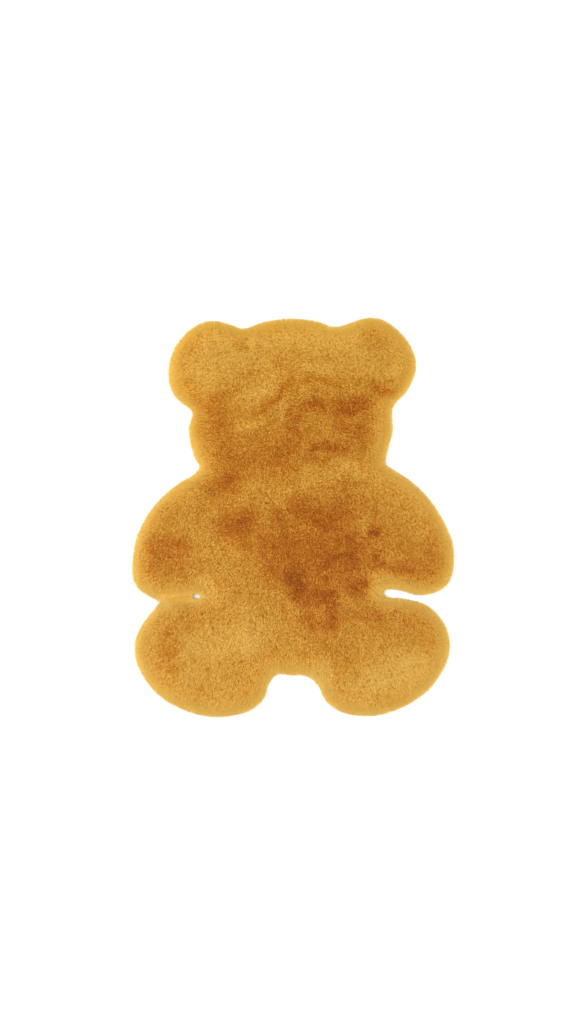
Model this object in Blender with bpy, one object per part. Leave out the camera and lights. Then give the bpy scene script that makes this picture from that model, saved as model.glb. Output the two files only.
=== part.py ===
"""Bear shaped pet rug: one piece of deep plush cloth that lies flat on the floor.

Metres, +Z up. The origin is on the floor, in the middle of the rug's box. +Y runs from the feet to the head.
The pile is part of the solid: it rolls over all round the rim, and its top is dented and creased.
"""

import math

import bmesh
import bpy
from mathutils import Vector, geometry, noise

MM = 0.001

# Driving sizes, in metres
RUG_WIDTH = 0.604  # from hand to hand
RUG_LENGTH = 0.750  # from the feet to the top of the ears
TOP_HEIGHT = 0.0165  # mean height of the pile above the floor
RIM_SPACING = 0.0085  # between neighbouring points along the outline
TOP_SPACING = 0.0130  # between neighbouring points on the pile's top

# The cut outline, clockwise from the top of the head, with X and Y in millimetres
OUTLINE = (
    ("crown", -2, 373),
    ("right brow", 42, 368),
    ("right dip", 80, 357.5),
    ("right ear, inner side", 107, 365),
    ("right ear, top", 146, 375),
    ("right ear, shoulder", 206, 341),
    ("right ear, outer side", 230, 284),
    ("right ear, low side", 215, 241),
    ("right notch", 186.5, 206),
    ("right cheek", 186, 162),
    ("right jaw", 174, 112),
    ("right neck", 173.5, 100),
    ("right neck, outer", 188, 89),
    ("right shoulder", 223, 65.5),
    ("right upper arm", 276, 3),
    ("right arm, side", 302, -72),
    ("right hand", 285, -131),
    ("right hand, low", 238, -146),
    ("right slot, top lip", 190, -135.5),
    ("right slot, top", 176, -135.8),
    ("right slot, end", 169.5, -142),
    ("right slot, foot", 176, -151),
    ("right leg, inner lip", 197, -153.5),
    ("right leg, top", 258, -172),
    ("right leg, side", 294, -236),
    ("right foot, outer", 270, -306),
    ("right foot, bottom", 204, -358),
    ("right foot, low", 134, -374),
    ("right foot, inner", 75, -358),
    ("right shin", 58.5, -341.5),
    ("right thigh", 48, -319),
    ("crotch, right", 28.5, -300.5),
    ("crotch", -6, -297),
    ("crotch, left", -34, -297.5),
    ("left thigh", -47, -314),
    ("left shin", -56.5, -341),
    ("left foot, inner", -68, -354),
    ("left foot, low", -126, -375),
    ("left foot, bottom", -206, -363),
    ("left foot, outer", -271, -317),
    ("left leg, side", -298.5, -240),
    ("left leg, top", -265, -177.5),
    ("left slot, lower lip", -250, -161.8),
    ("left slot, lower side, outer", -238, -158),
    ("left slot, lower side, inner", -215, -154),
    ("left slot, foot", -194, -152.1),
    ("left hole, low", -183.5, -153),
    ("left hole, end", -176.5, -149.6),
    ("left hole, top", -183.5, -145.8),
    ("left slot, top", -194, -149.6),
    ("left slot, upper side, inner", -215, -152),
    ("left slot, upper side, outer", -238, -155.9),
    ("left slot, upper lip", -252, -156.6),
    ("left hand, low", -271, -149),
    ("left hand", -294, -132),
    ("left arm, side", -302, -74),
    ("left upper arm", -275, 3),
    ("left shoulder", -217, 62),
    ("left neck, outer", -185, 82),
    ("left neck", -177, 92),
    ("left jaw", -185.5, 112),
    ("left cheek", -197, 164),
    ("left notch", -192.5, 202),
    ("left ear, lobe", -207, 213),
    ("left ear, low side", -224, 229.5),
    ("left ear, outer side", -234, 285),
    ("left ear, shoulder", -207, 341),
    ("left ear, top", -158, 368.5),
    ("left ear, inner side", -120, 362),
    ("left dip", -98, 354.5),
    ("left brow", -58, 366),
)

# The rim's profile, from the floor round to the top: distance in from the widest line, and height
RIM_PROFILE = (
    ("contact", 6.0 * MM, 0.0),
    ("under the roll", 2.2 * MM, 1.5 * MM),
    ("widest", 0.0, 6.0 * MM),
    ("over the roll", 2.0 * MM, 11.2 * MM),
    ("shoulder", 6.0 * MM, 14.6 * MM),
    ("top edge", 13.0 * MM, TOP_HEIGHT),
)

# Creases left by folding, in millimetres: start, middle and end of each line, its width and its depth
CREASES = (
    ("across the face", (-4, 264), (-32, 226), (-72, 190), 13, 3.2),
    ("under the left ear, outer", (-203, 268), (-188, 226), (-158, 214), 12, 2.4),
    ("under the left ear, inner", (-158, 214), (-130, 220), (-100, 242), 12, 2.0),
    ("right brow", (20, 248), (50, 258), (82, 268), 12, 1.6),
    ("under the right ear", (142, 246), (166, 240), (188, 226), 13, 2.6),
    ("neck, left", (-88, 82), (-30, 88), (34, 104), 14, 2.2),
    ("neck, right", (34, 104), (80, 112), (130, 97), 14, 2.4),
    ("below the chin", (36, 134), (66, 138), (98, 136), 12, 1.8),
    ("left shoulder", (-160, 112), (-130, 84), (-92, 66), 16, 1.8),
    ("right chest", (150, -14), (162, -26), (172, -40), 14, 1.6),
    ("waist", (-60, -86), (-40, -108), (-22, -124), 16, 1.4),
)

# Where the pile lies pressed or stands up, in millimetres: centre, half sizes, turn in degrees, and height
DENTS_AND_SWELLS = (
    ("forehead", (10, 318), (150, 34), 0, 0.9),
    ("face, right", (88, 204), (62, 20), 8, -1.8),
    ("cheek, right", (118, 164), (40, 20), -10, -1.4),
    ("cheek, left", (-140, 172), (24, 34), 0, -1.2),
    ("face ridge", (-8, 214), (11, 40), -28, 1.6),
    ("chin ridge", (60, 121), (34, 8), 3, 1.8),
    ("chest ridge", (70, 92), (70, 12), -4, 1.2),
    ("left shoulder", (-124, 76), (46, 34), 0, -1.3),
    ("left chest", (-96, -16), (46, 30), 10, -1.0),
    ("left hand", (-230, -66), (46, 50), 0, -1.8),
    ("right hand", (216, -64), (54, 50), 0, -1.2),
    ("belly", (34, -70), (82, 84), 0, -1.6),
    ("belly, low", (44, -160), (38, 48), 0, -1.2),
    ("hip, right", (146, -172), (26, 22), 0, -1.0),
    ("right thigh", (92, -230), (50, 40), 0, -0.7),
    ("left leg, outer", (-220, -232), (34, 54), 20, -0.8),
    ("right leg, outer", (236, -200), (32, 34), 0, -0.8),
    ("left foot", (-120, -318), (70, 30), 6, 0.8),
    ("right foot", (180, -312), (70, 30), -8, 0.8),
)

# Small lumps all over the top: how far apart they lie, and their height
LUMPS = (
    ("broad", 70 * MM, 0.7 * MM),
    ("fine", 28 * MM, 0.5 * MM),
)
LUMP_PATTERN = 3.0  # which slice of the noise the lumps are taken from

CREASE_FALL = 2.0  # how steeply a crease's sides fall, over its width
SWELL_FALL = 1.2  # how steeply a dent's or swell's edge falls, over its half size
CREASE_SIDE = 0.75  # where the rows of points beside a crease lie, as a share of its width
CLEARANCE = 0.62 * TOP_SPACING  # the least distance between points on the top
LONGEST_CORNER = 1.25  # the most that a corner's inset is stretched
MERGE_DISTANCE = 1e-7

PLUSH_COLOUR = (0.59, 0.27, 0.042, 1.0)  # mustard gold
PLUSH_ROUGHNESS = 0.95


def smooth_outline():
    """The closed outline: a smooth curve through its named points, cut into even steps."""
    points = [Vector((x * MM, y * MM, 0)) for _, x, y in OUTLINE]
    loop = []
    count = len(points)
    for i, here in enumerate(points):
        before, after, beyond = points[i - 1], points[(i + 1) % count], points[(i + 2) % count]
        run = (after - here).length
        leave = arc_handle(even_tangent(before, here, after), after - here)
        arrive = arc_handle(even_tangent(here, after, beyond), after - here)
        steps = max(1, round(run / RIM_SPACING))
        loop += geometry.interpolate_bezier(here, here + leave, after - arrive, after, steps + 1)[:-1]
    return fitted(loop)


def fitted(loop):
    """A loop brought to the rug's width and length, with its box centred on the origin."""
    low = Vector((min(p.x for p in loop), min(p.y for p in loop), 0))
    high = Vector((max(p.x for p in loop), max(p.y for p in loop), 0))
    scale = Vector((RUG_WIDTH / (high.x - low.x), RUG_LENGTH / (high.y - low.y), 1))
    return [(point - (low + high) / 2) * scale for point in loop]


def even_tangent(before, here, after):
    """The curve's direction at a point, weighted to its nearer neighbour so that close points stay smooth."""
    back, ahead = (here - before).length, (after - here).length
    return ((here - before) * ahead / back + (after - here) * back / ahead) / (back + ahead)


def arc_handle(direction, chord):
    """A handle along a direction, as long as it takes to draw a round arc over the chord."""
    turned = direction.normalized()
    return turned * chord.length * 2 / 3 / (1 + turned.dot(chord.normalized()))


def inward_directions(loop):
    """For each point of a clockwise loop, the way into the cloth, longer at a corner."""
    directions = []
    for i, here in enumerate(loop):
        along_in = (here - loop[i - 1]).normalized()
        along_out = (loop[(i + 1) % len(loop)] - here).normalized()
        along = (along_in + along_out).normalized()
        stretch = min(LONGEST_CORNER, 1 / along.dot(along_out))
        directions.append(Vector((along.y, -along.x, 0)) * stretch)
    return directions


def crease_depth(place):
    """How deep the creases are at a place on the rug."""
    depth = 0.0
    for _, start, middle, end, width, deep in CREASES:
        a, b, c = (Vector((x * MM, y * MM)) for x, y in (start, middle, end))
        for p, q in ((a, b), (b, c)):
            nearest, share = geometry.intersect_point_line(place, p, q)
            if share < 0 or share > 1:
                nearest = p if share < 0 else q
            across = (place - Vector(nearest[:2])).length / (width * MM)
            depth = max(depth, deep * MM * math.exp(-CREASE_FALL * across * across))
    return depth


def swell_height(place):
    """How far the pile stands up, or lies pressed, at a place on the rug."""
    height = 0.0
    for _, centre, half, turn, rise in DENTS_AND_SWELLS:
        offset = place - Vector(centre) * MM
        angle = math.radians(turn)
        along = (offset.x * math.cos(angle) + offset.y * math.sin(angle)) / (half[0] * MM)
        across = (offset.y * math.cos(angle) - offset.x * math.sin(angle)) / (half[1] * MM)
        height += rise * MM * math.exp(-SWELL_FALL * (along * along + across * across))
    return height


def relief(place):
    """The pile's height above its mean at a place on the rug."""
    lumps = sum(
        high * noise.noise(Vector((place.x / apart, place.y / apart, LUMP_PATTERN)))
        for _, apart, high in LUMPS
    )
    return swell_height(place) + lumps - crease_depth(place)


def rim_rings(loop):
    """The rings of points round the rim, from the floor to the edge of the pile's top."""
    directions = inward_directions(loop)
    rings = []
    for _, inset, height in RIM_PROFILE:
        ring = []
        for here, inward in zip(loop, directions):
            point = here + inward * inset
            share = height / TOP_HEIGHT
            point.z = height + relief(point.xy) * share * share
            ring.append(point)
        rings.append(ring)
    return rings


def crease_points():
    """Rows of points along each crease and beside it, so that the crease keeps its shape."""
    points = []
    for _, start, middle, end, width, _ in CREASES:
        a, b, c = (Vector((x * MM, y * MM)) for x, y in (start, middle, end))
        for p, q in ((a, b), (b, c)):
            along = (q - p).normalized()
            beside = Vector((along.y, -along.x)) * width * MM * CREASE_SIDE
            steps = max(2, round((q - p).length / TOP_SPACING))
            for i in range(steps):
                lowest = p.lerp(q, i / steps)
                points += [lowest, lowest + beside, lowest - beside]
    return points


def grid_points():
    """A staggered grid of points over the rug's box."""
    columns = math.ceil(RUG_WIDTH / TOP_SPACING / 2)
    row_height = TOP_SPACING * math.sqrt(3) / 2
    rows = math.ceil(RUG_LENGTH / row_height / 2)
    points = []
    for row in range(-rows, rows + 1):
        shift = 0.5 * (row % 2)
        for column in range(-columns, columns + 1):
            points.append(Vector(((column + shift) * TOP_SPACING, row * row_height)))
    return points


def top_points(rim):
    """Points on the pile's top, on the creases first and then on the grid, all clear of each other and the rim."""
    inner = []
    cells = {}
    for point in rim:
        cells.setdefault(cell_of(point), []).append(point.xy)
    for place in crease_points() + grid_points():
        across, up = cell_of(place)
        near = [
            other
            for i in (-1, 0, 1)
            for j in (-1, 0, 1)
            for other in cells.get((across + i, up + j), ())
        ]
        if all((place - other).length >= CLEARANCE for other in near):
            cells.setdefault((across, up), []).append(place)
            inner.append(place)
    return inner


def cell_of(place):
    """The square, as wide as the clearance, that a place lies in."""
    return math.floor(place.x / CLEARANCE), math.floor(place.y / CLEARANCE)


def fill(ring, inner):
    """Triangles that fill a ring and pass through the points inside it, as points and corner numbers."""
    flat = [point.xy for point in ring] + inner
    points, _, faces, _, _, _ = geometry.delaunay_2d_cdt(flat, [], [list(range(len(ring)))], 1, MERGE_DISTANCE)
    return points, faces


def build_rug():
    """The plush rug as one closed solid."""
    rings = rim_rings(smooth_outline())
    mesh = bmesh.new()
    rows = [[mesh.verts.new(point) for point in ring] for ring in rings]
    for low, high in zip(rows, rows[1:]):
        for i in range(len(low)):
            mesh.faces.new((low[i - 1], low[i], high[i], high[i - 1]))

    for ring, row, inner, top in (
        (rings[-1], rows[-1], top_points(rings[-1]), True),
        (rings[0], rows[0], [], False),
    ):
        points, faces = fill(ring, inner)
        corners = {}
        for face in faces:
            for number in face:
                if number not in corners and number < len(ring):
                    corners[number] = row[number]
                elif number not in corners:
                    place = points[number]
                    corners[number] = mesh.verts.new((place.x, place.y, TOP_HEIGHT + relief(place)))
            mesh.faces.new([corners[number] for number in (face if top else reversed(face))])

    bmesh.ops.triangulate(mesh, faces=mesh.faces)
    bmesh.ops.recalc_face_normals(mesh, faces=mesh.faces)
    data = bpy.data.meshes.new("plush_rug")
    mesh.to_mesh(data)
    mesh.free()
    data.shade_smooth()
    rug = bpy.data.objects.new("plush_rug", data)
    bpy.context.scene.collection.objects.link(rug)
    data.materials.append(plush_material())
    return rug


def plush_material():
    """Mustard plush: matt, with no shine of its own."""
    material = bpy.data.materials.new("mustard_plush")
    material.use_nodes = True
    shader = material.node_tree.nodes["Principled BSDF"]
    shader.inputs["Base Color"].default_value = PLUSH_COLOUR
    shader.inputs["Roughness"].default_value = PLUSH_ROUGHNESS
    shader.inputs["Metallic"].default_value = 0.0
    return material


def main():
    """Empty the scene and make the rug."""
    for item in list(bpy.data.objects):
        bpy.data.objects.remove(item, do_unlink=True)
    build_rug()


main()
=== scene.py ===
"""Bear shaped pet rug: its knitted backing, its plush pile, and a plain floor under soft studio light.

Metres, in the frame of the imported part: +Z up out of the pile, +Y from the feet to the head.
"""

import math

import bpy
import numpy as np
from bpy.props import FloatProperty, FloatVectorProperty, IntProperty, PointerProperty
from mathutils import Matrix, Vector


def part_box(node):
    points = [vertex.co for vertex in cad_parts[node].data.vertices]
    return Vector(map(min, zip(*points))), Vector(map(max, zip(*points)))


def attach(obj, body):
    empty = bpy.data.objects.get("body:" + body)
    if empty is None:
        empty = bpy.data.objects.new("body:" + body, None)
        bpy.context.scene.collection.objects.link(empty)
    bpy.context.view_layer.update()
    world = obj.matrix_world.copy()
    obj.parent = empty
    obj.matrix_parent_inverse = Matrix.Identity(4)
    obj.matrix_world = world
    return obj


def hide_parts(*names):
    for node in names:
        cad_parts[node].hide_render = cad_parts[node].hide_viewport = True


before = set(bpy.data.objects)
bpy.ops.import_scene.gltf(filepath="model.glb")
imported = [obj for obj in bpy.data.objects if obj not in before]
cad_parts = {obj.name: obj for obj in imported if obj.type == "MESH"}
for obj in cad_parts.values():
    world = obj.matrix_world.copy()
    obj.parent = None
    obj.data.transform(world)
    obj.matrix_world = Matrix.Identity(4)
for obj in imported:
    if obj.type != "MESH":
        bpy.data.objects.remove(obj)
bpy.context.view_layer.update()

bl_info = {
    "name": "Bear Shaped Pet Rug",
    "version": (1, 0, 0),
    "blender": (4, 5, 0),
    "location": "View3D > Sidebar > Rug",
    "description": "Makes a plush pet rug with its backing, its pile and a studio stage",
    "category": "Object",
}

MM = 0.001
NODE = "plush_rug"
RUG_LOW, RUG_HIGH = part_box(NODE)
FLOOR_TOUCH = 0.05 * MM  # a corner lower than this lies on the floor
RIM_OVERHANG = 6 * MM  # how far the pile's rim stands out past the line where it meets the floor
RIM_HEIGHT = 6 * MM  # height at which the rim is widest
RIM_SPREAD = 1.4 * MM  # how far the pile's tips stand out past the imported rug's rim

# The photograph's frame, and where the rug's middle and its edges lie in it, in pixels
FRAME_WIDTH, FRAME_HEIGHT = 576, 1024
RUG_MIDDLE_X, RUG_MIDDLE_Y = 293.1, 517.45
RUG_PIXELS_LONG = 398.7

# Marks brushed or pressed into the nap, painted into its colour as shade and highlight, in millimetres: a
# stroke's start and end, its half width, and how much darker (above 0, painted shade where the pile stands up
# or in a crease) or lighter (below 0, painted highlight where the pile lies flat or on a ridge) it is
NAP_SHADE_MARKS = (
    ("left ear", (-170, 275), (-145, 330), 48, -0.40),
    ("right ear", (150, 290), (196, 288), 44, -0.27),
    ("right ear, outer edge", (192, 268), (202, 262), 14, -0.20),
    ("forehead", (-100, 300), (100, 300), 38, -0.20),
    ("forehead, left spot", (-102, 322), (-94, 318), 12, 0.20),
    ("forehead, small spot", (-34, 287), (-30, 283), 5, 0.35),
    ("top of the head", (-70, 334), (106, 332), 20, -0.42),
    ("forehead, left", (-110, 288), (-68, 297), 14, -0.16),
    ("forehead, middle", (-2, 300), (4, 302), 14, 0.10),
    ("forehead, right", (28, 279), (66, 271), 13, -0.22),
    ("over the left temple", (-112, 262), (-108, 256), 11, -0.16),
    ("left temple", (-85, 228), (-55, 240), 24, -0.36),
    ("under the left ear, outer", (-199, 250), (-182, 226), 8, 0.20),
    ("under the left ear, inner", (-154, 214), (-138, 224), 10, 0.18),
    ("under the left ear, end", (-128, 229), (-102, 241), 7, 0.12),
    ("under the right ear", (148, 245), (182, 232), 10, 0.42),
    ("right brow, inner", (14, 250), (38, 263), 8, 0.12),
    ("right brow, outer", (38, 263), (78, 250), 8, 0.09),
    # Creases and ridges: painted shade in their hollows, painted highlight on their ridges
    ("crease across the face, top", (-6, 258), (-22, 230), 8, 0.18),
    ("crease across the face, foot", (-22, 230), (-72, 192), 8, 0.24),
    ("ridge beside the crease", (-18, 226), (-22, 184), 9, -0.26),
    ("left face", (-142, 204), (-132, 124), 24, 0.20),
    ("left face, upper edge", (-176, 204), (-164, 196), 12, 0.26),
    ("left face, spot", (-148, 174), (-145, 168), 10, 0.22),
    ("light streak on the face", (-104, 165), (-62, 176), 9, -0.24),
    ("left cheek", (-105, 140), (0, 136), 24, 0.20),
    ("lower face", (-58, 114), (-8, 112), 20, 0.20),
    ("middle of the face", (-2, 200), (-4, 160), 14, 0.28),
    ("middle of the face, spot", (12, 191), (14, 187), 8, 0.25),
    ("right face, all", (20, 160), (120, 155), 38, 0.12),
    ("right face, inner", (31, 209), (48, 212), 13, 0.60),
    ("right face, outer", (88, 208), (132, 211), 16, 0.55),
    ("right face, under", (72, 193), (106, 192), 10, 0.30),
    ("light spot on the muzzle", (54, 149), (62, 150), 9, -0.18),
    ("right cheek, inner", (88, 172), (106, 152), 11, 0.26),
    ("right cheek, spot", (121, 168), (126, 165), 9, 0.36),
    ("right cheek, outer", (132, 150), (120, 134), 16, 0.18),
    ("right jaw", (163, 112), (163, 200), 13, -0.24),
    # The roll at the chin: painted highlight on the roll, painted shade under it
    ("band over the chin", (44, 128), (98, 128), 10, 0.54),
    ("roll at the chin", (54, 115), (74, 112), 5, -0.26),
    ("under the roll", (28, 105), (72, 106), 8, 0.46),
    ("end of the roll", (38, 123), (44, 118), 7, 0.26),
    ("ridge beside the chin", (84, 101), (122, 95), 8, -0.24),
    ("left neck", (-108, 104), (-118, 68), 26, 0.30),
    ("left shoulder", (-154, 53), (-122, 62), 17, 0.34),
    ("neck", (-80, 95), (0, 90), 18, 0.18),
    ("top of the chest, left", (-60, 60), (0, 62), 16, -0.02),
    ("top of the chest, right", (20, 78), (150, 86), 18, -0.10),
    ("collar spot", (95, 68), (115, 58), 10, 0.22),
    ("right shoulder", (170, 50), (220, 20), 34, -0.10),
    ("left upper arm", (-222, 26), (-190, 42), 32, -0.08),
    ("middle of the chest", (20, 14), (66, 2), 29, 0.47),
    ("chest, under the middle", (62, -18), (76, -22), 12, 0.20),
    ("chest, right", (102, 34), (102, -34), 20, 0.26),
    ("chest, left spot", (-32, 6), (-24, -10), 12, 0.40),
    ("between chest and right arm", (142, 24), (150, -74), 22, 0.22),
    ("chest, light spot", (132, -6), (141, -24), 13, -0.19),
    ("left chest", (-122, -26), (-90, -15), 24, 0.55),
    ("left chest, upper", (-112, 2), (-78, 6), 18, 0.22),
    ("left of the belly", (-78, -56), (-50, -50), 18, 0.22),
    ("belly, upper", (-14, -58), (40, -62), 46, 0.58),
    ("belly, left", (-49, -110), (8, -112), 19, 0.43),
    ("belly, right", (92, -66), (122, -94), 26, 0.50),
    ("belly, right foot", (106, -92), (118, -98), 10, 0.20),
    ("belly, middle", (26, -102), (66, -100), 26, 0.06),
    ("belly, right of the middle", (62, -112), (88, -124), 18, 0.32),
    ("belly, lower", (6, -128), (50, -146), 20, 0.68),
    ("belly, foot of the left side", (-4, -143), (22, -162), 11, 0.48),
    ("belly, lower right", (70, -142), (74, -196), 15, 0.58),
    ("belly, lowest left", (22, -188), (42, -204), 13, 0.40),
    ("right side", (116, -133), (138, -129), 15, 0.58),
    ("right side, upper", (116, -40), (122, -56), 11, 0.26),
    ("right side, foot", (94, -147), (132, -147), 9, 0.18),
    ("spot by the right arm", (153, -28), (162, -29), 11, 0.86),
    ("mark by the right arm", (157, -78), (163, -97), 12, 0.42),
    ("by the right slot", (154, -118), (158, -156), 10, -0.18),
    ("by the left slot", (-166, -122), (-152, -152), 14, -0.36),
    ("left side", (-150, -62), (-110, -70), 30, -0.03),
    ("left arm, inner", (-195, -16), (-170, -34), 24, -0.04),
    ("left forearm", (-262, -60), (-212, -58), 21, 0.41),
    ("left hand", (-256, -98), (-216, -100), 27, 0.22),
    ("right arm", (194, -48), (250, -70), 34, 0.15),
    ("right hand", (192, -96), (260, -101), 17, 0.31),
    ("heel of the right hand", (190, -105), (212, -107), 8, 0.34),
    ("right arm, light spot", (216, -36), (238, -31), 13, -0.19),
    ("right hip", (106, -184), (152, -184), 17, 0.32),
    ("right groin", (58, -212), (92, -248), 21, 0.16),
    ("between the thighs", (-40, -236), (26, -240), 28, 0.01),
    ("left thigh", (-105, -190), (-60, -222), 36, -0.13),
    ("right leg, top", (178, -200), (244, -212), 27, 0.17),
    ("right leg, middle", (152, -306), (230, -286), 42, -0.36),
    ("right leg, inner side", (118, -278), (124, -288), 12, 0.14),
    ("right foot, inner mark", (92, -286), (93, -300), 8, 0.14),
    ("right foot, inner edge", (56, -280), (62, -330), 14, -0.26),
    ("left leg, top", (-198, -182), (-214, -202), 14, 0.18),
    ("left leg, outer", (-234, -226), (-232, -284), 14, 0.23),
    ("left leg, middle", (-180, -250), (-82, -242), 40, -0.26),
    ("left foot", (-210, -308), (-98, -328), 22, -0.12),
    ("collar, right of the middle", (66, 51), (84, 50), 13, 0.16),
    ("left side of the belly", (-88, -54), (-90, -60), 13, 0.26),
    ("left waist", (-98, -92), (-92, -100), 14, 0.12),
    ("belly, lowest", (34, -172), (38, -174), 10, 0.28),
    ("left of the belly's foot", (-74, -154), (-60, -158), 10, 0.12),
    ("belly's foot, left", (-24, -150), (-16, -168), 10, 0.12),
    ("right hip, inner", (92, -166), (95, -212), 9, 0.15),
    ("right thigh, inner", (30, -214), (70, -262), 12, 0.11),
    ("left thigh, inner", (-60, -225), (-46, -268), 14, 0.10),
    ("left temple, light spot", (-127, 224), (-122, 206), 9, -0.14),
    ("left temple, dark spot", (-92, 228), (-90, 208), 11, 0.14),
    ("right temple, light spot", (141, 222), (139, 198), 10, -0.14),
    ("under the right brow", (12, 217), (42, 229), 8, -0.13),
    ("beside the ridge", (-14, 192), (-12, 182), 9, -0.12),
    ("left jaw, light spot", (-112, 122), (-92, 108), 12, -0.12),
    ("chest, left of the middle", (-36, 0), (-34, -4), 9, 0.26),
    ("chest, light middle", (14, -24), (16, -38), 11, -0.13),
    ("belly, light upper left", (-30, -40), (-40, -62), 12, -0.14),
    ("belly, right edge", (126, -47), (130, -60), 10, 0.15),
    ("right neck, light", (104, 76), (142, 72), 12, -0.10),
    ("left shoulder, outer", (-158, 30), (-138, 38), 14, 0.11),
    ("right leg, top light", (152, -190), (170, -184), 12, -0.10),
    ("left leg, top light", (-204, -180), (-225, -200), 12, -0.10),
    ("right leg, dark middle", (140, -262), (168, -286), 16, 0.10),
    ("right foot, inner light", (98, -312), (96, -345), 14, -0.12),
    ("top of the head, middle", (-8, 330), (54, 325), 12, 0.10),
    ("over the crease", (-58, 284), (-28, 258), 12, -0.10),
    # Thin creases: painted shade in their hollows
    ("thin crease on the face, top", (-1, 261), (-15, 248), 3.2, 0.42),
    ("thin crease on the face, middle", (-17, 244), (-27, 226), 3.0, 0.46),
    ("thin crease on the face, foot", (-30, 222), (-57, 200), 3.2, 0.36),
    ("thin crease on the right brow, inner", (17, 254), (34, 261), 2.8, 0.32),
    ("thin crease on the right brow, middle", (39, 260), (56, 256), 2.8, 0.30),
    ("thin crease on the right brow, end", (60, 253), (86, 248), 2.6, 0.16),
    ("thin crease under the left ear, outer", (-201, 249), (-194, 233), 2.8, 0.28),
    ("thin crease under the left ear, foot", (-192, 229), (-178, 215), 2.8, 0.42),
    ("thin crease under the left ear, inner", (-160, 218), (-142, 229), 3.0, 0.26),
    ("thin crease under the left ear, end", (-137, 231), (-104, 237), 2.8, 0.18),
    ("thin crease by the right ear, foot", (146, 229), (162, 230), 2.8, 0.22),
    ("thin crease by the right ear, rise", (166, 232), (177, 242), 2.8, 0.36),
    ("thin crease by the right ear, top", (146, 248), (160, 243), 2.8, 0.32),
    ("nick in the right ear", (202, 245), (207, 242), 2.2, 0.50),
    ("nicks on the right leg, upper", (166, -240), (176, -243), 2.4, 0.34),
    ("nicks on the right leg, inner", (98, -270), (102, -277), 2.6, 0.40),
    ("nick on the left leg", (-222, -232), (-214, -240), 2.6, 0.34),
)

# Marks of the same kind, painted shade and highlight, that lie over the rolled rim
RIM_SHADE_MARKS = (
    ("left cheek", (-187, 212), (-181, 160), 12, 0.15),
    ("under the right ear", (179, 236), (190, 230), 10, 0.28),
    ("left upper arm", (-246, 18), (-268, -26), 14, 0.07),
    ("left hand", (-280, -72), (-280, -92), 12, 0.08),
    ("right hand", (212, -113), (268, -122), 9, 0.12),
    ("right foot", (184, -352), (212, -346), 9, 0.12),
    ("left ear", (-210, 268), (-204, 300), 14, -0.09),
    ("right ear", (168, 346), (206, 300), 14, -0.09),
    ("left leg, outer", (-272, -254), (-264, -224), 14, -0.10),
    ("left leg, top", (-246, -160), (-226, -186), 12, -0.13),
    ("right leg, inner", (42, -292), (76, -336), 12, -0.10),
    ("right shoulder", (188, 76), (236, 20), 14, -0.08),
    ("right arm", (284, -80), (288, -96), 12, 0.11),
    ("top of the head", (30, 354), (140, 354), 9, -0.11),
    ("left foot", (-154, -347), (-130, -350), 10, -0.11),
)

# Painted shade where the pile leans away from the light: as above, with how much darker (below 0) it looks
SHADE_MARKS = (
    ("left hand", (-252, -54), (-240, -104), 24, -0.06),
    ("left cheek", (-178, 208), (-168, 158), 15, -0.06),
    ("left shoulder", (-154, 53), (-128, 70), 17, -0.04),
)

# The pile is grown in these fields: name, least and most X, least and most Y, in millimetres
PILE_FIELDS = (
    ("pile_head_left", -400, 0, 95, 500),
    ("pile_head_right", 0, 400, 95, 500),
    ("pile_arm_left", -400, -130, -154, 95),
    ("pile_chest", -130, 130, -154, 95),
    ("pile_arm_right", 130, 400, -154, 95),
    ("pile_leg_left", -400, 0, -500, -154),
    ("pile_leg_right", 0, 400, -500, -154),
)

# How the nap's tone is made up, which paints the shade of standing pile and the highlight of laid pile. Cells
# and reaches are in millimetres
NAP_BASE = 0.42  # tone of the pile where nothing has brushed it
MARK_EDGE = 2.4  # how sharply a mark ends
NAP_WARPS = ((34, 4.0), (12, 3.2), (5, 1.8))  # cell and reach of the waves that bend the marks
WARP_SEEDS = (21, 22)
NAP_GRAINS = ((19, 0.06), (9, 0.11), (5, 0.16))  # cell and reach of the unevenness in the nap
GRAIN_SEED = 40
GRAIN_LEAST, GRAIN_BY_TONE = 0.1, 1.3  # its strength at a tone of 0, and what a tone of 1 adds
RIM_TONE = 0.20  # tone of the pile where it rolls over at the rim, a painted highlight on the laid pile
RIM_LAID = 7 * MM  # width of the rim's smooth band
RIM_FADE = 27 * MM  # width over which the smooth band fades into the nap
TONE_DEEPEST = 1.4  # tone of the darkest grains, painted shade between the tips

# How the tufts stand: angles in degrees, turns in radians
TRIANGLE_STEPS = (0.7548776662, 0.5698402910)  # steps that spread points evenly over a triangle
ROUNDING = 0.7  # share by which a tip moves from its flat triangle to the rounded surface
CLUMP_FLAT, CLUMP_BY_TONE = 0.1, 0.4  # pull to a clump's middle at a tone of 0, and what a tone of 1 adds
CLUMP_PULLS = (0.5, 1.0)  # least and most share of that pull
CLUMP_PLACES = (0.1, 0.9)  # where in its cell a clump's middle may lie
ROOT_SINK = 0.4 * MM  # how deep the roots stand in the backing
ROOT_STRAY = 0.5 * MM
ROOT_LOW, ROOT_LOW_RISE, ROOT_LOW_SPAN = 0.4, 1 * MM, 6 * MM  # the roots of low tips stand lower
NAP_HEADING = math.pi * 1.5  # the pile leans towards the feet
WIDE_TURN, WIDE_WAVE, WIDE_SEED = 0.7, 60 * MM, 31
CLOSE_TURN, CLOSE_WAVE, CLOSE_SEED = 0.5, 14 * MM, 32
STRAY_TURN = 0.9
LEAN_FLAT, LEAN_BY_TONE, LEAN_STRAY = 21, 13, 8  # lean at a tone of 0, what a tone of 1 takes off, chance
SHORT_STRAY, SHORT_BY_TONE, SHORTEST = 0.10, 0.06, 0.5  # share by which a tuft falls short, least length
FUZZ_SHAPE, FUZZ_LONGEST = 2.0, 3  # how even the loose ends are, and the longest, by the mean
WIDTH_RANGE = (0.75, 1.2)
SKEW_AXIS = (0.31, 0.17, 0.93)  # a direction that no tuft runs along
UV_LOW, UV_MIDDLE, UV_HIGH = 0.08, 0.5, 0.92  # where a face lies in its tuft's cell of the map
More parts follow.
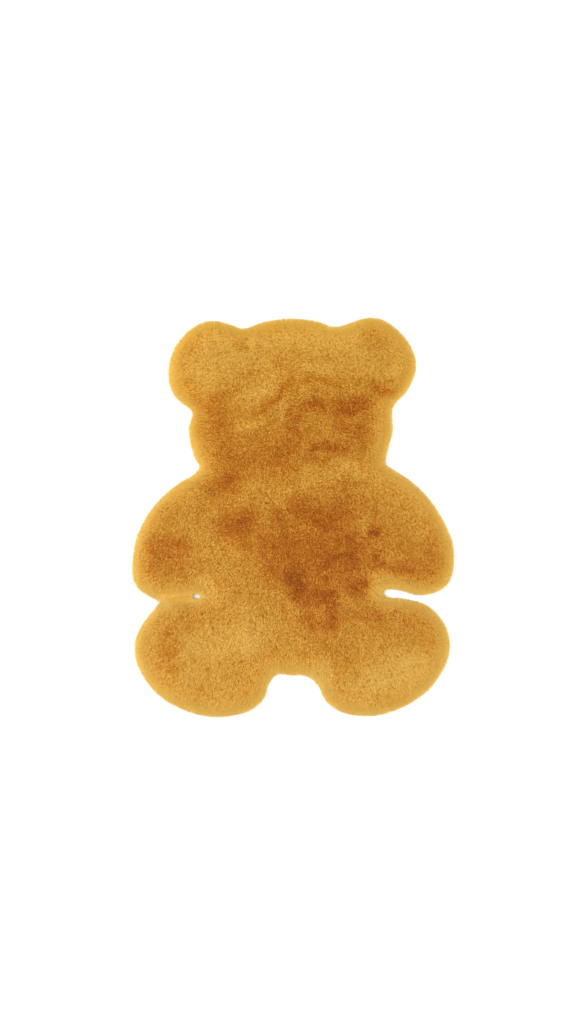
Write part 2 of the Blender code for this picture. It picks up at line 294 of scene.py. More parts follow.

# How each tuft's colour is set, with painted shade and painted light
SOFT_GRAINS = ((2.0, 0.25), (4.6, 0.25))  # cell in millimetres and strength of the soft grain in the tone
SHARP_GRAIN = 0.6  # strength of the tone's grain from tuft to tuft
GRAIN_SMOOTH_RIM, SPECK_SMOOTH_RIM = 0.8, 0.6  # share of the grain, and of the specks, that the rim loses
GRAIN_FLAT, GRAIN_DARK = 0.45, 1.1  # strength of the grain at a tone of 0, and what a tone of 1 adds
FINE_CELL = 2.6 * MM  # cells over which the fine grain evens out
FINE_SHARE = 0.7  # share of each cell's mean that is taken off
FINE_SOFT, FINE_SOFT_CELL, FINE_SHARP, FINE_GAIN = 0.12, 1.7 * MM, 0.30, 1.3
SHORT_MEAN, SHORT_SHADE = 0.08, 1.4  # a tuft that falls short by more than the mean is painted darker, as shade among taller neighbours
SPECK_MIDDLE, SPECK_FLAT, SPECK_BY_TONE = 0.5, 0.24, 2.5
# Dark flecks: painted shade of small gaps in the pile
FLECK_CELL, FLECK_FROM, FLECK_TO, FLECK_DARK = 2.6 * MM, 0.5, 0.8, 0.36
SPECK_DARK = (0.67, 0.30, 0.03, 1.0)  # what the darkest and lightest fibres multiply the pile's colour by: a random tone from tuft to tuft, with painted shade in gaps and on low tufts, and painted light on the rest
SPECK_LIGHT = (1.33, 1.70, 2.04, 1.0)
RIM_PAINTED_LIGHT, RING_PAINTED_LIGHT = -0.08, 0.04  # painted light: how much brighter the rim, and the ring just inside it, look; below 0, painted shade
RING_INNER, RING_OUTER = (10 * MM, 20 * MM), (26 * MM, 46 * MM)  # where the ring starts, and where it ends
FEET_TINT = (0.984, 1.0, 1.05, 1.0)  # what the pile's colour is multiplied by towards the feet, and the head
HEAD_TINT = (1.012, 1.0, 0.87, 1.0)
DRIFT_START, DRIFT_END = -0.16, 0.28  # places along Y between which the colour drifts from one to the other
TONE_STOPS = (("Ochre", 0.0, 0.32), ("Brown", 0.32, 0.72), ("Deep Brown", 0.72, 1.0))
ROOT_DARK, TIP_BRIGHT = 0.05, 0.75  # heights between which the root's colour, painted shade deep in the pile, turns into the tip's
ROUGH_ROOT, ROUGH_BY_RISE, ROUGH_BY_SPECK = 0.92, -0.16, 0.08
PILE_ROUGHNESS, PILE_SHEEN = 0.75, 0.05
SPECULAR_LEVEL, SHEEN_ROUGHNESS, SHEEN_TINT = 0.05, 0.5, (1.0, 0.78, 0.42, 1.0)

# Where the left arm lies against the left leg, and the small hole at that seam's inner end, in millimetres
SEAM_LINE = ((-258, -153), (-187, -149.5))
HOLE_MIDDLE, HOLE_HALF = (-182.0, -149.2), (6.2, 4.8)
SEAM_NEAR, SEAM_FAR = 4 * MM, 10 * MM  # distances at which a tip belongs to the seam fully, and no more
SEAM_FADE_IN, SEAM_FADE_OUT = 0.06, 0.96  # shares of the seam's length between which it is whole
SEAM_REACH = 3.0 * MM  # how far the pile of each reaches over the seam
SEAM_HEIGHT, SEAM_LIFT = 13.5 * MM, 0.85  # height that the pile is pushed up to, and how nearly
SEAM_PAINTED_LIGHT, SEAM_TONE = 0.16, 0.08  # painted highlight over the seam's shadow: how much brighter, and how much darker in tone, the pile is at the seam

# The knitted backing
EDGE_ROUND, EDGE_STEPS, EDGE_ANGLE = 0.3, 2, 50  # its cut edge: rounding by its thickness, steps, degrees
SMOOTH_ANGLE = 40
KNIT_ROUGHNESS, KNIT_SHEEN = 0.9, 0.1
FIBRE_SCALE, FIBRE_DETAIL, FIBRE_SHADE = 700.0, 2.0, 0.5
# The wales are painted darker where their bump lies low: painted shade in the knit's grooves
WALE_SCALE, WALE_BEND, WALE_SHADE, WALE_DARK = 190.0, 1.6, 0.25, 0.82
WALE_BUMP, WALE_DEPTH = 0.35, 0.4 * MM

# The stage
FLOOR_SIZE, FLOOR_DROP = 12, 0.3 * MM
FLOOR_ROUGHNESS, FLOOR_SPECULAR = 0.95, 0.1
KEY_PLACE, KEY_SIZE = (-1.15, 0.1, 2.3), 2.2
FILL_PLACE, FILL_SIZE = (1.7, -0.5, 1.6), 2.0
SKY_TINT = (1.0, 0.99, 0.97, 1.0)
SENSOR_HEIGHT = 24

WAY_SMOOTHINGS = 3  # rounds of smoothing of the way in from the rim
NOISE_SIDE = 256  # cells along the side of a noise lattice
KEY_STRIDE = 100000  # more than there are cells along the rug
TINY, LEAST_LENGTH = 1e-9, 1e-12  # keep a division from being by nothing
BUILD = {}  # what one operator made and the next one needs


class RugSizes(bpy.types.PropertyGroup):
    """The sizes of the rug's cloth and pile."""

    cloth_thickness: FloatProperty(
        name="Backing Thickness", description="Thickness of the knitted backing",
        default=0.0024, unit="LENGTH",
    )
    cloth_inset: FloatProperty(
        name="Backing Inset", description="How far the backing's cut edge lies inside the pile's floor line",
        default=0.0042, unit="LENGTH",
    )
    cloth_grid: FloatProperty(
        name="Backing Grid", description="Distance between the backing's mesh lines",
        default=0.012, unit="LENGTH",
    )
    tuft_spacing: FloatProperty(
        name="Tuft Spacing", description="Mean distance between the tips of the pile",
        default=0.00112, unit="LENGTH",
    )
    tuft_width: FloatProperty(
        name="Tuft Width", description="Half width of a tuft at its root", default=0.00075, unit="LENGTH"
    )
    rim_reach: FloatProperty(
        name="Rim Reach", description="How far the pile leans out at the rim", default=0.0108, unit="LENGTH"
    )
    rim_depth: FloatProperty(
        name="Rim Depth", description="How far in from the edge the lean dies away",
        default=0.012, unit="LENGTH",
    )
    clump_spacing: FloatProperty(
        name="Clump Spacing", description="Distance between the clumps that tips gather in",
        default=0.0026, unit="LENGTH",
    )
    fuzz: FloatProperty(
        name="Fuzz", description="Mean length of the loose ends at the rim", default=0.0018, unit="LENGTH"
    )
    fuzz_depth: FloatProperty(
        name="Fuzz Depth", description="How far in from the edge the loose ends go",
        default=0.005, unit="LENGTH",
    )
    # The grain varies the painted nap shade at random, down to the painted shade between the tips
    grain: FloatProperty(
        name="Grain", description="Strength of the dark grain in the pile", default=0.22, min=0, max=1
    )
    pattern: IntProperty(name="Pattern", description="Which random pattern the pile follows", default=7)


class RugColours(bpy.types.PropertyGroup):
    """The colours of the plush, from the palest tip to the root; the browner ones and the root paint the shade
    of standing pile, of gaps between tips and deep in the pile.
    """

    gold: FloatVectorProperty(
        name="Gold", description="Tips of the pile where it lies flat",
        default=(0.930, 0.640, 0.150), subtype="COLOR", min=0, max=1,
    )
    ochre: FloatVectorProperty(
        name="Ochre", description="Tips of the pile in between",
        default=(0.825, 0.468, 0.072), subtype="COLOR", min=0, max=1,
    )
    # Painted shade of the pile where it stands up
    brown: FloatVectorProperty(
        name="Brown", description="Tips of the pile where it stands up",
        default=(0.748, 0.272, 0.034), subtype="COLOR", min=0, max=1,
    )
    # Painted shade between the tips
    deep: FloatVectorProperty(
        name="Deep Brown", description="The darkest grains between the tips",
        default=(0.47, 0.122, 0.024), subtype="COLOR", min=0, max=1,
    )
    # Painted shade deep in the pile
    root: FloatVectorProperty(
        name="Root", description="The foot of the pile",
        default=(0.66, 0.29, 0.030), subtype="COLOR", min=0, max=1,
    )
    backing: FloatVectorProperty(
        name="Backing", description="The knitted backing",
        default=(0.54, 0.225, 0.034), subtype="COLOR", min=0, max=1,
    )


class StageSettings(bpy.types.PropertyGroup):
    """The floor, the lights and the camera."""

    camera_height: FloatProperty(
        name="Camera Height", description="Height of the camera over the rug", default=2.8, unit="LENGTH"
    )
    key_power: FloatProperty(
        name="Key Power", description="Power of the main light", default=42.5, unit="POWER"
    )
    fill_power: FloatProperty(
        name="Fill Power", description="Power of the fill light", default=15.0, unit="POWER"
    )
    sky: FloatProperty(name="Sky", description="Strength of the light from all round", default=1.51)
    floor: FloatVectorProperty(
        name="Floor", description="Colour of the floor",
        default=(0.88, 0.88, 0.88), subtype="COLOR", min=0, max=1,
    )


def deselect_all():
    """Leaves nothing selected, so that an operator acts on the new piece alone."""
    if bpy.context.object and bpy.context.object.mode != "OBJECT":
        bpy.ops.object.mode_set(mode="OBJECT")
    bpy.ops.object.select_all(action="DESELECT")


def unit(vectors):
    """The vectors at a length of one."""
    return vectors / np.maximum(np.linalg.norm(vectors, axis=1), LEAST_LENGTH)[:, None]


def eased(value, low, high):
    """0 below low, 1 above high, with soft ends."""
    share = np.clip((value - low) / (high - low), 0, 1)
    return share * share * (3 - 2 * share)


def plush_arrays():
    """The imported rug's points and triangles, with the points of neighbouring triangles shared."""
    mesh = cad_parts[NODE].data
    points = np.zeros(len(mesh.vertices) * 3)
    mesh.vertices.foreach_get("co", points)
    points = points.reshape(-1, 3)
    mesh.calc_loop_triangles()
    corners = np.zeros(len(mesh.loop_triangles) * 3, np.int32)
    mesh.loop_triangles.foreach_get("vertices", corners)
    _, first, shared = np.unique(np.round(points, 6), axis=0, return_index=True, return_inverse=True)
    return points[first], shared.reshape(-1)[corners].reshape(-1, 3)


def floor_line(points, triangles):
    """The closed line where the pile meets the floor, in order round the rug."""
    flat = np.all(points[triangles][:, :, 2] < RUG_LOW.z + FLOOR_TOUCH, axis=1)
    edges = {(int(a), int(b)) for face in triangles[flat] for a, b in zip(face, np.roll(face, -1))}
    step = {a: b for a, b in edges if (b, a) not in edges}
    here = min(step)
    line = []
    while len(line) < len(step):
        line.append(points[here][:2])
        here = step[here]
    return np.array(line)


def lattice_noise(places, cell, seed):
    """Smooth noise from -1 to 1 at each place in plan, from random values on a square lattice."""
    table = np.random.default_rng(seed).uniform(-1, 1, (NOISE_SIDE, NOISE_SIDE))
    grid = places / cell
    low = np.floor(grid).astype(int)
    part = grid - low
    part = part * part * (3 - 2 * part)
    x0, y0 = low[:, 0] % NOISE_SIDE, low[:, 1] % NOISE_SIDE
    x1, y1 = (x0 + 1) % NOISE_SIDE, (y0 + 1) % NOISE_SIDE
    lower = table[x0, y0] * (1 - part[:, 0]) + table[x1, y0] * part[:, 0]
    upper = table[x0, y1] * (1 - part[:, 0]) + table[x1, y1] * part[:, 0]
    return lower * (1 - part[:, 1]) + upper * part[:, 1]


def rim_distance(places, line):
    """How far each place lies inside the floor line (below 0 outside), and the way in from the rim there."""
    ahead = np.roll(line, -1, axis=0) - line
    span = (ahead * ahead).sum(1)
    turn = np.sign((line[:, 0] * np.roll(line[:, 1], -1) - np.roll(line[:, 0], -1) * line[:, 1]).sum())
    inward = turn * np.stack([-ahead[:, 1], ahead[:, 0]], 1) / np.sqrt(span)[:, None]
    offset = places[:, None, :] - line[None]
    share = np.clip((offset * ahead).sum(2) / span, 0, 1)
    offset = offset - share[..., None] * ahead
    away = np.linalg.norm(offset, axis=2)
    nearest = away.argmin(1)
    row = np.arange(len(places))
    far, near = away[row, nearest], offset[row, nearest]
    rise = np.where(np.abs(ahead[:, 1]) < TINY, TINY, ahead[:, 1])
    crossing = line[None, :, 0] + (places[:, 1, None] - line[None, :, 1]) * (ahead[:, 0] / rise)
    above = line[None, :, 1] > places[:, 1, None]
    passes = (above != np.roll(above, -1, axis=1)) & (places[:, 0, None] < crossing)
    side = np.where(passes.sum(1) % 2 == 1, 1.0, -1.0)
    clear = far > FLOOR_TOUCH
    way = np.where(clear[:, None], side[:, None] * near / np.maximum(far, TINY)[:, None], inward[nearest])
    return side * far, way


def surface_fields(points, triangles, line):
    """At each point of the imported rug: its normal, its distance in from the rim, and the smoothed way in."""
    corner = points[triangles]
    faces = np.cross(corner[:, 1] - corner[:, 0], corner[:, 2] - corner[:, 0])
    normals = np.zeros_like(points)
    for spot in range(3):
        np.add.at(normals, triangles[:, spot], faces)
    inside, way = rim_distance(points[:, :2], line)
    for _ in range(WAY_SMOOTHINGS):
        total = way.copy()
        for spot in range(3):
            np.add.at(total, triangles[:, spot], way[triangles[:, (spot + 1) % 3]])
        way = unit(total)
    return unit(normals), inside + RIM_OVERHANG, way


def share_and_distance(places, start, end):
    """How far along a line from start to end each place lies, from 0 to 1, and how far away from it."""
    along = end - start
    share = np.clip((places - start) @ along / (along @ along), 0, 1)
    return share, np.linalg.norm(places - start - share[:, None] * along, axis=1)


def drawn_marks(places, marks):
    """How much the marks add at each place."""
    total = np.zeros(len(places))
    for _, start, end, half_width, strength in marks:
        _, away = share_and_distance(places, np.array(start) * MM, np.array(end) * MM)
        total += strength * np.exp(-(away / (half_width * MM)) ** MARK_EDGE)
    return total


def nap_tone(places, rolled):
    """How dark the brushed nap looks at each place: 0 where the pile lies flat, 1 where it stands up. The
    tufts stand up and clump by it, and the colour paints the shade of standing pile and of creases by it.
    """
    bent = places.copy()
    for axis, seed in enumerate(WARP_SEEDS):
        for cell, reach in NAP_WARPS:
            bent[:, axis] += lattice_noise(places, cell * MM, seed + cell) * reach * MM
    tone = NAP_BASE + drawn_marks(bent, NAP_SHADE_MARKS)
    for cell, reach in NAP_GRAINS:
        uneven = reach * lattice_noise(places, cell * MM, GRAIN_SEED + cell)
        tone += uneven * (GRAIN_LEAST + GRAIN_BY_TONE * tone)
    tone = tone * (1 - rolled) + RIM_TONE * rolled + drawn_marks(bent, RIM_SHADE_MARKS)
    return np.clip(tone, 0, TONE_DEEPEST)


def tuft_tips(points, triangles, fields, spacing, seed):
    """Places for the tips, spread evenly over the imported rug's rounded top and rim, and the fields there."""
    lifted = ~np.all(points[triangles][:, :, 2] < RUG_LOW.z + FLOOR_TOUCH, axis=1)
    triangles = triangles[lifted]
    corner = points[triangles]
    area = np.linalg.norm(np.cross(corner[:, 1] - corner[:, 0], corner[:, 2] - corner[:, 0]), axis=1) / 2
    random = np.random.default_rng(seed)
    counts = np.floor(area / spacing ** 2 + random.random(len(area))).astype(int)
    owner = np.repeat(np.arange(len(area)), counts)
    step = np.arange(len(owner)) - np.repeat(np.cumsum(counts) - counts, counts)
    shift = random.random((len(area), 2))
    u, v = ((shift[owner, axis] + step * TRIANGLE_STEPS[axis]) % 1 for axis in (0, 1))
    over = u + v > 1
    u[over], v[over] = 1 - u[over], 1 - v[over]
    weights = np.stack([1 - u - v, u, v], 1)[..., None]
    corners = triangles[owner]
    flat = (points[corners] * weights).sum(1)
    normals = fields[0][corners]
    below = ((flat[:, None, :] - points[corners]) * normals).sum(2, keepdims=True)
    rounded = ((flat[:, None, :] - below * normals) * weights).sum(1)
    tips = flat + ROUNDING * (rounded - flat)
    inset = (fields[1][corners] * weights[..., 0]).sum(1)
    way = unit((fields[2][corners] * weights).sum(1))
    return tips, inset, way


def gathered(tips, spacing, pull, seed):
    """The tips drawn towards the middles of small clumps, by a share that differs from tip to tip."""
    random = np.random.default_rng(seed)
    table = random.uniform(*CLUMP_PLACES, (NOISE_SIDE, NOISE_SIDE, 2))
    cell = np.floor(tips[:, :2] / spacing).astype(int)
    best = np.full(len(tips), np.inf)
    middle = tips[:, :2].copy()
    for i in (-1, 0, 1):
        for j in (-1, 0, 1):
            near = cell + (i, j)
            place = (near + table[near[:, 0] % NOISE_SIDE, near[:, 1] % NOISE_SIDE]) * spacing
            away = np.linalg.norm(place - tips[:, :2], axis=1)
            closer = away < best
            best[closer] = away[closer]
            middle[closer] = place[closer]
    moved = tips.copy()
    moved[:, :2] += (middle - tips[:, :2]) * pull[:, None]
    return moved


def kept_fine(values, places):
    """The values less most of their mean in each small cell of two grids, so that they vary finely."""
    for shift in (0.0, 0.5):
        column, row = np.floor(places / FINE_CELL + shift).astype(int).T
        _, owner = np.unique(column * KEY_STRIDE + row, return_inverse=True)
        mean = np.bincount(owner, values) / np.bincount(owner)
        values = values - FINE_SHARE * mean[owner]
    return values


def model_tuft():
    """One tuft, a thin three-sided spike 1 high and 1 in radius, modelled once for all the pile."""
    deselect_all()
    bpy.ops.mesh.primitive_cone_add(
        vertices=3, radius1=1, radius2=0, depth=1, end_fill_type="NOTHING", location=(0, 0, 0.5)
    )
    tuft = bpy.context.object
    bpy.ops.object.transform_apply(location=True, rotation=True, scale=True)
    points = np.array([vertex.co for vertex in tuft.data.vertices])
    faces = np.array([face.vertices for face in tuft.data.polygons])
    data = tuft.data
    bpy.data.objects.remove(tuft, do_unlink=True)
    bpy.data.meshes.remove(data)
    return points, faces


def grow_tufts(name, roots, tips, widths, tuft_marks, tuft, seed):
    """One joined mesh of tufts from their roots to their tips, each with its marks and a cell of the map."""
    shape, faces = tuft
    count, corners = len(roots), len(shape)
    axis = tips - roots
    random = np.random.default_rng(seed)
    spin = random.uniform(0, 2 * math.pi, count)
    straight = unit(axis)
    side = unit(np.cross(straight, np.array(SKEW_AXIS)))
    front = np.cross(side, straight)
    first = side * np.cos(spin)[:, None] + front * np.sin(spin)[:, None]
    second = front * np.cos(spin)[:, None] - side * np.sin(spin)[:, None]
    points = (
        roots[:, None, :]
        + axis[:, None, :] * shape[None, :, 2:3]
        - first[:, None, :] * (shape[None, :, 0:1] * widths[:, None, None])
        + second[:, None, :] * (shape[None, :, 1:2] * widths[:, None, None])
    )
    mesh = bpy.data.meshes.new(name)
    mesh.vertices.add(count * corners)
    mesh.vertices.foreach_set("co", points.reshape(-1).astype(np.float32))
    loops = (faces[None] + (np.arange(count) * corners)[:, None, None]).reshape(-1)
    mesh.loops.add(len(loops))
    mesh.loops.foreach_set("vertex_index", loops.astype(np.int32))
    total = count * len(faces)
    mesh.polygons.add(total)
    mesh.polygons.foreach_set("loop_start", np.arange(0, total * 3, 3, dtype=np.int32))
    mesh.update(calc_edges=True)

    marks = np.ones((count, corners, 4), np.float32)
    marks[..., 0] = shape[None, :, 2]
    marks[..., 1:] = tuft_marks[:, None, :]
    layer = mesh.color_attributes.new("pile_marks", "FLOAT_COLOR", "POINT")
    layer.data.foreach_set("color", marks.reshape(-1))

    side_cells = math.ceil(math.sqrt(count))
    cell = np.stack([np.arange(count) % side_cells, np.arange(count) // side_cells], 1) / side_cells
    corner_place = np.zeros((len(faces), 3, 2))
    for number, face in enumerate(faces):
        feet = [(UV_LOW, UV_LOW), (UV_HIGH, UV_LOW)]
        for spot, vertex in enumerate(face):
            at_tip = shape[vertex, 2] > 0.5
            corner_place[number, spot] = (UV_MIDDLE, UV_HIGH) if at_tip else feet.pop(0)
    uv = cell[:, None, None, :] + corner_place[None] / side_cells
    layer = mesh.uv_layers.new(name="OFBake")
    layer.data.foreach_set("uv", uv.reshape(-1).astype(np.float32))

    piece = bpy.data.objects.new(name, mesh)
    bpy.context.scene.collection.objects.link(piece)
    return piece


def math_node(tree, operation, *values):
    """A Math node's result, whose inputs are sockets or numbers."""
    node = tree.nodes.new("ShaderNodeMath")
    node.operation = operation
    for socket, value in zip(node.inputs, values):
        if isinstance(value, (int, float)):
            socket.default_value = value
        else:
            tree.links.new(value, socket)
    return node.outputs[0]


def mix_colours(tree, share, first, second, blend="MIX"):
    """A colour mix, whose inputs are sockets, colours or numbers."""
    node = tree.nodes.new("ShaderNodeMix")
    node.data_type = "RGBA"
    node.blend_type = blend
    for socket, value in ((node.inputs[0], share), (node.inputs[6], first), (node.inputs[7], second)):
        if isinstance(value, (int, float, tuple)):
            socket.default_value = value
        else:
            tree.links.new(value, socket)
    return node.outputs[2]


def shaded(tree, colour, value):
    """A colour multiplied by one changing value."""
    grey = tree.nodes.new("ShaderNodeCombineColor")
    for socket in grey.inputs:
        tree.links.new(value, socket)
    return mix_colours(tree, 1.0, colour, grey.outputs[0], "MULTIPLY")


def straight_range(tree, value, low, high):
    """A value brought to 0 to 1 between two limits."""
    node = tree.nodes.new("ShaderNodeMapRange")
    tree.links.new(value, node.inputs["Value"])
    node.inputs["From Min"].default_value = low
    node.inputs["From Max"].default_value = high
    return node.outputs["Result"]


def nap_colour_group():
    """A node group: the plush's colour and roughness from root to tip, where it lies flat or stands up, with
    painted shade at the root, on standing pile and in gaps, and painted light.
    """
    group = bpy.data.node_groups.new("Nap Colour And Shade", "ShaderNodeTree")
    for label, start in (("Rise", 1.0), ("Tone", 0.4), ("Speck", 0.5), ("Painted Light", 1.0), ("Drift", 0.5)):
        socket = group.interface.new_socket(label, in_out="INPUT", socket_type="NodeSocketFloat")
        socket.default_value = start
    for label in ("Gold", "Ochre", "Brown", "Deep Brown", "Root"):
        group.interface.new_socket(label, in_out="INPUT", socket_type="NodeSocketColor")
    group.interface.new_socket("Color", in_out="OUTPUT", socket_type="NodeSocketColor")
    group.interface.new_socket("Roughness", in_out="OUTPUT", socket_type="NodeSocketFloat")
    entry = group.nodes.new("NodeGroupInput").outputs
    leave = group.nodes.new("NodeGroupOutput").inputs

    tip = entry["Gold"]
    # The tone's browner stops paint the shade of standing pile, down to the shade between the tips
    for label, low, high in TONE_STOPS:
        tip = mix_colours(group, straight_range(group, entry["Tone"], low, high), tip, entry[label])
    # Painted shade deep in the pile, from the root colour up to the tip's
    above_root_shade = straight_range(group, entry["Rise"], ROOT_DARK, TIP_BRIGHT)
    colour = mix_colours(group, above_root_shade, entry["Root"], tip)
    # The specks: a random tone from tuft to tuft, with painted shade in gaps and on low tufts
    speck = mix_colours(group, entry["Speck"], SPECK_DARK, SPECK_LIGHT)
    colour = mix_colours(group, 1.0, colour, speck, "MULTIPLY")
    tint = mix_colours(group, entry["Drift"], FEET_TINT, HEAD_TINT)
    colour = mix_colours(group, 1.0, colour, tint, "MULTIPLY")
    # Painted light: brighter or darker at the rim, the ring inside it and the seam, and painted shade where
    # the pile leans from the light
    group.links.new(shaded(group, colour, entry["Painted Light"]), leave["Color"])
    worn = math_node(group, "MULTIPLY_ADD", entry["Rise"], ROUGH_BY_RISE, ROUGH_ROOT)
    dull = math_node(group, "MULTIPLY", entry["Speck"], ROUGH_BY_SPECK)
    group.links.new(math_node(group, "SUBTRACT", worn, dull), leave["Roughness"])
    return group


def new_material(name, roughness, sheen):
    """A plain material's node tree and shader, with constants on the shader itself, and the material."""
    material = bpy.data.materials.new(name)
    material.use_nodes = True
    shader = material.node_tree.nodes["Principled BSDF"]
    shader.inputs["Roughness"].default_value = roughness
    shader.inputs["Specular IOR Level"].default_value = SPECULAR_LEVEL
    shader.inputs["Sheen Weight"].default_value = sheen
    shader.inputs["Sheen Roughness"].default_value = SHEEN_ROUGHNESS
    shader.inputs["Sheen Tint"].default_value = SHEEN_TINT
    return material, material.node_tree, shader


def plush_material(colours):
    """The pile: brushed gold plush, with painted shade towards its root."""
    material, tree, shader = new_material("plush_pile", PILE_ROUGHNESS, PILE_SHEEN)
    marks = tree.nodes.new("ShaderNodeAttribute")
    marks.attribute_name = "pile_marks"
    split = tree.nodes.new("ShaderNodeSeparateColor")
    tree.links.new(marks.outputs["Color"], split.inputs[0])
    place = tree.nodes.new("ShaderNodeSeparateXYZ")
    tree.links.new(tree.nodes.new("ShaderNodeTexCoord").outputs["Object"], place.inputs[0])
    drift = straight_range(tree, place.outputs["Y"], DRIFT_START, DRIFT_END)
    nap = tree.nodes.new("ShaderNodeGroup")
    nap.node_tree = nap_colour_group()
    for label, value in (
        ("Rise", split.outputs[0]), ("Tone", split.outputs[1]), ("Speck", split.outputs[2]),
        ("Painted Light", marks.outputs["Alpha"]), ("Drift", drift),
    ):
        tree.links.new(value, nap.inputs[label])
    for label, colour in (
        ("Gold", colours.gold), ("Ochre", colours.ochre), ("Brown", colours.brown),
        ("Deep Brown", colours.deep), ("Root", colours.root),
    ):
        nap.inputs[label].default_value = (*colour, 1.0)
    tree.links.new(nap.outputs["Color"], shader.inputs["Base Color"])
    tree.links.new(nap.outputs["Roughness"], shader.inputs["Roughness"])
    return material


def backing_material(colours):
    """The backing: a fine knit with unevenly dyed fibres, dyed with the pile, with painted shade in the
    grooves between its wales.
    """
    material, tree, shader = new_material("knitted_backing", KNIT_ROUGHNESS, KNIT_SHEEN)
    place = tree.nodes.new("ShaderNodeTexCoord").outputs["Object"]
    fibres = tree.nodes.new("ShaderNodeTexNoise")
    fibres.inputs["Scale"].default_value = FIBRE_SCALE
    fibres.inputs["Detail"].default_value = FIBRE_DETAIL
    tree.links.new(place, fibres.inputs["Vector"])
    wale = tree.nodes.new("ShaderNodeTexWave")
    wale.inputs["Scale"].default_value = WALE_SCALE
    wale.inputs["Distortion"].default_value = WALE_BEND
    tree.links.new(place, wale.inputs["Vector"])
    dye = math_node(tree, "MULTIPLY_ADD", fibres.outputs["Fac"], FIBRE_SHADE, 1 - FIBRE_SHADE / 2)
    # Painted shade in the grooves, where the wale's bump lies low
    shade = math_node(tree, "MULTIPLY_ADD", wale.outputs["Fac"], WALE_SHADE, WALE_DARK)
    shade = math_node(tree, "MULTIPLY", shade, dye)
    tree.links.new(shaded(tree, (*colours.backing, 1.0), shade), shader.inputs["Base Color"])
    bump = tree.nodes.new("ShaderNodeBump")
    bump.inputs["Strength"].default_value = WALE_BUMP
    bump.inputs["Distance"].default_value = WALE_DEPTH
    tree.links.new(wale.outputs["Fac"], bump.inputs["Height"])
    tree.links.new(bump.outputs["Normal"], shader.inputs["Normal"])
    return material


class RUG_OT_backing_cloth(bpy.types.Operator):
    """Cut the knitted backing to the bear's outline and lay it on the floor"""

    bl_idname = "rug.backing_cloth"
    bl_label = "Lay Backing Cloth"

    def execute(self, context):
        sizes, colours = context.scene.rug_sizes, context.scene.rug_colours
        line = BUILD["line"]
        deselect_all()
        mesh = bpy.data.meshes.new("rug_backing")
        mesh.from_pydata([(x, y, 0.0) for x, y in line], [], [list(range(len(line)))])
        cloth = bpy.data.objects.new("rug_backing", mesh)
        context.scene.collection.objects.link(cloth)
        cloth.select_set(True)
        context.view_layer.objects.active = cloth
        bpy.ops.object.mode_set(mode="EDIT")
        bpy.ops.mesh.select_all(action="SELECT")
        bpy.ops.mesh.inset(thickness=sizes.cloth_inset, depth=0)
        bpy.ops.mesh.select_all(action="INVERT")
        bpy.ops.mesh.delete(type="FACE")
        self.draw_grid(sizes.cloth_grid)
        bpy.ops.mesh.select_all(action="SELECT")
        bpy.ops.mesh.extrude_region_move(TRANSFORM_OT_translate={"value": (0, 0, sizes.cloth_thickness)})
        bpy.ops.mesh.select_all(action="SELECT")
        bpy.ops.mesh.normals_make_consistent(inside=False)
        bpy.ops.object.mode_set(mode="OBJECT")
        bevel = cloth.modifiers.new("cut_edge", "BEVEL")
        bevel.width = sizes.cloth_thickness * EDGE_ROUND
        bevel.segments = EDGE_STEPS
        bevel.angle_limit = math.radians(EDGE_ANGLE)
        bpy.ops.object.modifier_apply(modifier=bevel.name)
        triangles = cloth.modifiers.new("triangles", "TRIANGULATE")
        bpy.ops.object.modifier_apply(modifier=triangles.name)
        bpy.ops.object.shade_smooth_by_angle(angle=math.radians(SMOOTH_ANGLE))
        cloth.data.materials.append(backing_material(colours))
        if len(cloth.data.polygons) < len(line):
            raise RuntimeError("the backing has too few faces")
        BUILD["backing"] = cloth
        return {"FINISHED"}

    @staticmethod
    def draw_grid(step):
        """Cuts the flat cloth along a square grid, so that its faces are small and even."""
        for axis, normal in enumerate(((1, 0, 0), (0, 1, 0))):
            low, high = RUG_LOW[axis], RUG_HIGH[axis]
            for number in range(1, math.ceil((high - low) / step)):
                place = [0, 0, 0]
                place[axis] = low + number * step
                bpy.ops.mesh.select_all(action="SELECT")
                bpy.ops.mesh.bisect(plane_co=place, plane_no=normal)


